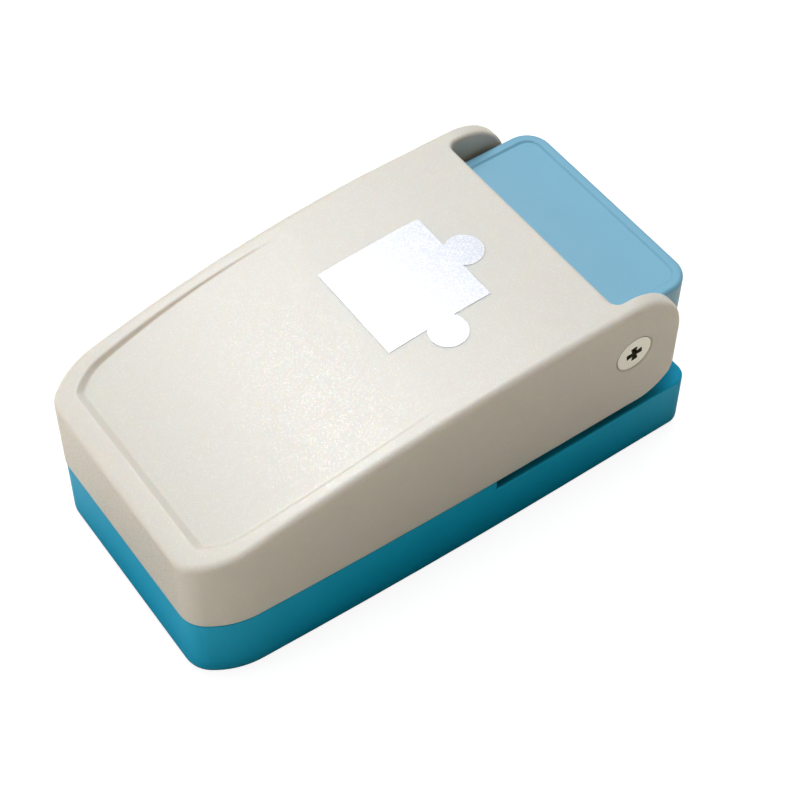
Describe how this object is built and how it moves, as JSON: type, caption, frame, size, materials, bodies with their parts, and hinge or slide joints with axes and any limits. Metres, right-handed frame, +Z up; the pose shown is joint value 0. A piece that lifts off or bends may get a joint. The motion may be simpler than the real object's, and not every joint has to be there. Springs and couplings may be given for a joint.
{
  "type": "puzzle punch",
  "caption": "Desk lever punch that cuts a jigsaw piece from paper: a cream arched lever hinged on flush screws over a blue base, with a throat for the paper at the back.",
  "frame": {"origin": "middle of the footprint, on the table under the feet", "axes": "+Z up, +Y to the back where the paper goes in, +X to the right; the lever is shut"},
  "size_m": [0.068, 0.1306, 0.0521],
  "materials": {
    "lever_plastic": "satin, fine pearl",
    "base_plastic": "fine texture",
    "housing_plastic": "fine texture",
    "foil": "sparkling foil",
    "screw_cream": "satin",
    "tool_steel": "ground",
    "zinc_steel": "zinc plated",
    "spring_steel": "drawn wire",
    "brass": "machined",
    "nylon": "plain",
    "cover_plastic": "fine texture",
    "rubber": "plain",
    "lock_plastic": "satin"
  },
  "bodies": {
    "base": {"base_shell": "base_plastic", "base_cover": "cover_plastic", "rubber_feet": "rubber", "cover_screws": "zinc_steel", "die_plate": "tool_steel", "die_screws": "zinc_steel", "throat_spacer": "tool_steel", "guide_plate": "tool_steel", "die_set_screws": "zinc_steel", "guide_plate_screws": "zinc_steel", "guide_posts": "tool_steel", "return_springs": "spring_steel", "upper_housing": "housing_plastic", "housing_screws": "zinc_steel", "pivot_inserts": "brass", "pivot_washers": "nylon", "pivot_screw_right": "screw_cream", "pivot_screw_left": "screw_cream"},
    "lever": {"lever_shell": "lever_plastic", "emblem": "foil", "press_bar": "tool_steel", "pivot_bush_right": "nylon", "pivot_bush_left": "nylon"},
    "punch": {"punch": "tool_steel", "punch_carrier": "tool_steel", "punch_screws": "zinc_steel", "guide_bushes": "brass"},
    "lock": {"lock_slider": "lock_plastic"}
  },
  "joints": [
    {"name": "lever_hinge", "type": "hinge", "parent": "base", "child": "lever", "pos_m": [0, 0.0448, 0.0377], "axis": [-1, 0, 0], "range_deg": [0, 20]},
    {"name": "punch_slide", "type": "slide", "parent": "base", "child": "punch", "axis": [0, 0, 1], "range_m": [0, 0.00588], "deforming": ["return_springs"]},
    {"name": "lock_slide", "type": "slide", "parent": "base", "child": "lock", "axis": [0, -1, 0], "range_m": [0, 0.0028]}
  ],
  "couplings": [
    {"joint": "punch_slide", "follows": "lever_hinge", "m_per_rad": 0.01686}
  ]
}
